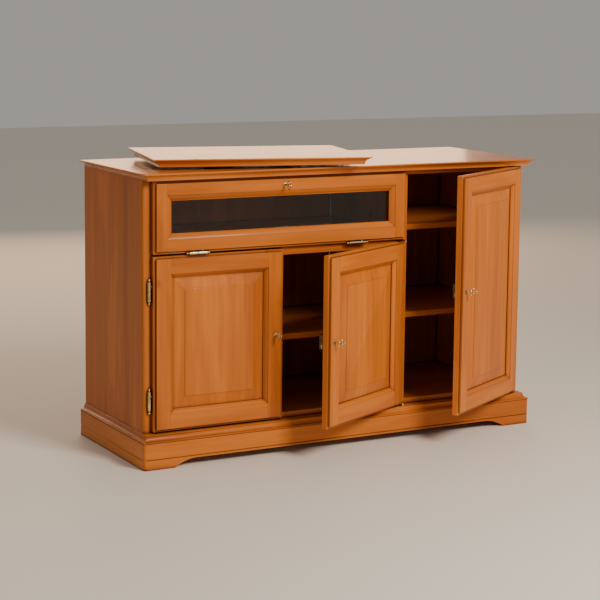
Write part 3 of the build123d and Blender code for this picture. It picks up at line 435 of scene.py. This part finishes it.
def turned(outline, steps=28):
    """A solid of revolution about Z, from its outline of radius and height."""
    shape = bmesh.new()
    points = [shape.verts.new((radius, 0, height)) for radius, height in outline]
    edges = [shape.edges.new(pair) for pair in zip(points, points[1:])]
    bmesh.ops.spin(
        shape, geom=points + edges, cent=(0, 0, 0), axis=(0, 0, 1), angle=math.tau,
        steps=steps, use_merge=True,
    )
    bmesh.ops.remove_doubles(shape, verts=shape.verts, dist=TURNED_MERGE)
    return shape


def ring(major, wire, sides=12, steps=32):
    """A round wire bent into a ring about Z."""
    shape = bmesh.new()
    bmesh.ops.create_circle(shape, segments=sides, radius=wire)
    bmesh.ops.rotate(shape, verts=shape.verts, matrix=Matrix.Rotation(math.pi / 2, 3, "X"))
    bmesh.ops.translate(shape, verts=shape.verts, vec=(major, 0, 0))
    bmesh.ops.spin(
        shape, geom=shape.verts[:] + shape.edges[:], cent=(0, 0, 0), axis=(0, 0, 1),
        angle=math.tau, steps=steps, use_merge=True,
    )
    return shape


def put(whole, part, place):
    """Moves a part to its place and joins it to the whole."""
    bmesh.ops.transform(part, matrix=place, verts=part.verts)
    bmesh.ops.recalc_face_normals(part, faces=part.faces)
    carrier = bpy.data.meshes.new("carrier")
    part.to_mesh(carrier)
    part.free()
    whole.from_mesh(carrier)
    bpy.data.meshes.remove(carrier)


# %% [markdown]
# A finished piece needs three things: smooth faces, a material and a body to ride on. The place of a lock comes
# from the joint that its key turns about, so a piece can never stand beside its keyhole.

# %% Carrying brass to a lock
LOCKS = ("left_door", "middle_door", "tall_door", "flap")


def finished(name, shape, body, material):
    """A piece with one finish, smooth faces and its place in its mesh, riding on a body."""
    for face in shape.faces:
        face.smooth = True
    mesh = bpy.data.meshes.new(name)
    shape.to_mesh(mesh)
    shape.free()
    mesh.materials.append(material)
    piece = bpy.data.objects.new(name, mesh)
    bpy.context.scene.collection.objects.link(piece)
    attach(piece, body)
    return piece


def lock_place(lock):
    """Where a lock's key turns: x across the door, y up, z out along the key."""
    joint = joints[lock + "_key_turn"]
    out = Vector(joint["axis"])
    across = UPRIGHT.cross(out)
    turn = Matrix((across, UPRIGHT, out)).transposed().to_4x4()
    return Matrix.Translation(Vector(joint["pos_m"])) @ turn


print("locks", [tuple(round(value, 3) for value in lock_place(lock).translation) for lock in LOCKS])

# %% [markdown]
# A cabinet key is a turned shank with a collar just in front of the door and a flat bow to hold.
# Its bow here is a trefoil, three rings round a small ball. Rings that overlap read as one casting
# at this size, which saves joining them. The bit at the far end is a plain block.

# %% Keys
KEY_OUTLINE = [
    (0.0, -0.0100), (0.0014, -0.0100), (0.0020, -0.0094), (0.0020, 0.0245), (0.0030, 0.0255),
    (0.0034, 0.0270), (0.0034, 0.0290), (0.0030, 0.0302), (0.0021, 0.0310), (0.0019, 0.0345),
    (0.0026, 0.0358), (0.0031, 0.0374), (0.0024, 0.0390), (0.0, 0.0398),
]
BOW_RING = 0.0048
BOW_WIRE = 0.0012
BOW_LOBES = [(-0.0064, 0.0420), (0.0064, 0.0420), (0.0, 0.0510)]
BOW_BALL = 0.0027
BALL_OUT = 0.0452
BIT_SIZE = (0.0016, 0.0060, 0.0050)
BIT_PLACE = (0, -0.0030, -0.0065)


def make_key():
    key = bmesh.new()
    put(key, turned(KEY_OUTLINE), Matrix.Identity(4))
    for up, out in BOW_LOBES:
        upright = Matrix.Rotation(math.pi / 2, 4, "Y")
        put(key, ring(BOW_RING, BOW_WIRE), Matrix.Translation((0, up, out)) @ upright)
    ball = bmesh.new()
    bmesh.ops.create_uvsphere(ball, u_segments=20, v_segments=12, radius=BOW_BALL)
    put(key, ball, Matrix.Translation((0, 0, BALL_OUT)))
    bit = bmesh.new()
    bmesh.ops.create_cube(bit, size=1.0)
    put(key, bit, Matrix.Translation(BIT_PLACE) @ Matrix.Diagonal((*BIT_SIZE, 1)))
    return key


for lock in LOCKS:
    key = bmesh.new()
    put(key, make_key(), lock_place(lock))
    key_piece = finished(lock + "_cast_key", key, lock + "_key", aged_brass)
    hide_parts(lock + "_key")
    print(key_piece.name, "faces", len(key_piece.data.polygons))

# %% [markdown]
# An escutcheon keeps the key from scratching the wood. It is a pierced plate: an outer loop and a
# keyhole-shaped inner loop with as many points are bridged, pushed out to a thickness, and the
# front face is inset and raised. Giving each loop its radius by angle keeps the points in step.

# %% Escutcheons
DOOR_FACE = 0.022
HOLE_RADIUS = 0.0027
SLOT_HALF = 0.0015
SLOT_LOW = 0.0056
PLATE_RADIUS = 0.0070
PLATE_LOBE = 0.0010
PLATE_POINTS = 72
PLATE_BOARD = 0.0009
RAISED_EDGE = 0.0007
RAISED_BY = 0.0005
NOT_ZERO = 1e-6


def keyhole_radius(angle):
    """How far a keyhole reaches in a direction: a round hole with a slot below it."""
    if math.sin(angle) >= 0:
        return HOLE_RADIUS
    across = SLOT_HALF / max(abs(math.cos(angle)), NOT_ZERO)
    return max(HOLE_RADIUS, min(across, SLOT_LOW / abs(math.sin(angle))))


def make_escutcheon():
    """A pierced plate with four soft lobes, raised in the middle."""
    plate = bmesh.new()
    outer = bmesh.ops.create_circle(plate, segments=PLATE_POINTS, radius=1.0)["verts"]
    inner = bmesh.ops.create_circle(plate, segments=PLATE_POINTS, radius=1.0)["verts"]
    for point in outer:
        angle = math.atan2(point.co.y, point.co.x)
        point.co *= PLATE_RADIUS + PLATE_LOBE * math.cos(4 * angle)
    for point in inner:
        point.co *= keyhole_radius(math.atan2(point.co.y, point.co.x))
    face_ring = bmesh.ops.bridge_loops(plate, edges=plate.edges[:])["faces"]
    raised = bmesh.ops.extrude_face_region(plate, geom=face_ring)["geom"]
    top = [part for part in raised if isinstance(part, bmesh.types.BMVert)]
    bmesh.ops.translate(plate, verts=top, vec=(0, 0, PLATE_BOARD))
    faces = [part for part in raised if isinstance(part, bmesh.types.BMFace)]
    bmesh.ops.inset_region(
        plate, faces=faces, thickness=RAISED_EDGE, depth=RAISED_BY, use_even_offset=True
    )
    return plate


for lock in LOCKS:
    escutcheon = bmesh.new()
    put(escutcheon, make_escutcheon(), lock_place(lock) @ Matrix.Translation((0, 0, DOOR_FACE)))
    plate_piece = finished(lock + "_escutcheon", escutcheon, lock, aged_brass)
    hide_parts(lock + "_lock")
    print(plate_piece.name, "faces", len(plate_piece.data.polygons))

# %% [markdown]
# The lock's case sits at the back of the door and is plain dark bronze. Its CAD node holds the
# case and a plain escutcheon together, so a copy of the node is cut down to the case: points near
# the door's front face are deleted, and with them every face that they held.

# %% Lock cases
CASE_FRONT = 0.021
COPY_MERGE = 1e-6


def case_copy(node, place):
    """The lock's case alone: a merged copy of its node without the escutcheon."""
    case = bmesh.new()
    case.from_mesh(nodes[node].data)
    bmesh.ops.remove_doubles(case, verts=case.verts, dist=COPY_MERGE)
    inward = place.inverted()
    front = [point for point in case.verts if (inward @ point.co).z > CASE_FRONT]
    bmesh.ops.delete(case, geom=front, context="VERTS")
    return case


for lock in LOCKS:
    case = case_copy(lock + "_lock", lock_place(lock))
    case_piece = finished(lock + "_lock_case", case, lock, dark_bronze)
    for face in case_piece.data.polygons:
        face.use_smooth = False
    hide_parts(lock + "_lock")
    print(case_piece.name, "faces", len(case_piece.data.polygons))

# %% [markdown]
# Each half of a barrel hinge has a thin collar at both ends of its barrel. They are rings slipped
# over the barrels, and each rides with the half it belongs to.

# %% Collars on the hinges
BARREL = 0.0045
COLLAR_WIRE = 0.0003
COLLARS = (0.0012, 0.0245)
FINIAL_REACH = 0.03547


def hinge_places(node, pivot, along):
    """The middles of a node's two hinges, along its hinge line."""
    low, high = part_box(node)
    axis = max(range(3), key=lambda index: abs(along[index]))
    places = []
    for reach in (low[axis], high[axis] - FINIAL_REACH):
        middle_point = Vector(pivot)
        middle_point[axis] = reach
        places.append(middle_point)
    return places


frame_collars = bmesh.new()
for hung, along in (("left_door", UPRIGHT), ("tall_door", UPRIGHT), ("flap", ALONG_X)):
    own_collars = bmesh.new()
    turn = UPRIGHT.rotation_difference(along).to_matrix().to_4x4()
    for centre in hinge_places(hung + "_hinges", joints[hung + "_hinge"]["pos_m"], along):
        for reach in COLLARS:
            above = Matrix.Translation(centre + along * reach) @ turn
            below = Matrix.Translation(centre - along * reach) @ turn
            put(own_collars, ring(BARREL, COLLAR_WIRE), above)
            put(frame_collars, ring(BARREL, COLLAR_WIRE), below)
    finished(hung + "_hinge_collars", own_collars, hung, aged_brass)
fixed_piece = finished("frame_hinge_collars", frame_collars, "carcass", aged_brass)
print(fixed_piece.name, "faces", len(fixed_piece.data.polygons))

# %% [markdown]
# A plain pale floor and soft light from panels. The main panel stands in front and well above the
# top, a little to the right of the middle, so each open door throws its shadow on the plinth and
# the left side falls into shade. A long warm panel behind gives the top its gloss. The camera sees
# neither panel.

# %% Floor and light
def floor(half_width):
    shape = bmesh.new()
    bmesh.ops.create_grid(shape, x_segments=1, y_segments=1, size=half_width)
    mesh = bpy.data.meshes.new("floor")
    shape.to_mesh(mesh)
    shape.free()
    piece = bpy.data.objects.new("floor", mesh)
    bpy.context.scene.collection.objects.link(piece)
    finish = Finish("pale_floor")
    finish.fill(finish.shader, {"Base Color": (0.80, 0.74, 0.66, 1.0), "Roughness": 0.6})
    mesh.materials.append(finish.material)


def soft_panel(name, place, aim, width, height, watts, colour):
    data = bpy.data.lights.new(name, "AREA")
    data.shape = "RECTANGLE"
    data.size = width
    data.size_y = height
    data.energy = watts
    data.color = colour
    light = bpy.data.objects.new(name, data)
    bpy.context.scene.collection.objects.link(light)
    light.visible_camera = False
    light.location = place
    light.rotation_euler = (Vector(aim) - Vector(place)).to_track_quat("-Z", "Y").to_euler()


FLOOR_HALF = 12.0
floor(FLOOR_HALF)
middle = (cad_bounds[0] + cad_bounds[1]) / 2
soft_panel("key_panel", (0.55, -2.9, 2.35), middle, 1.0, 1.0, 112.0, (1.0, 0.92, 0.80))
soft_panel("back_panel", (0.9, 4.2, 1.55), middle, 4.5, 1.3, 72.0, (1.0, 0.64, 0.36))
world = bpy.data.worlds.new("studio")
bpy.context.scene.world = world
world.use_nodes = True
sky = world.node_tree.nodes["Background"].inputs
sky["Color"].default_value = (1.0, 0.95, 0.88, 1.0)
sky["Strength"].default_value = 0.36
print("lights aimed at", tuple(round(value, 3) for value in middle))
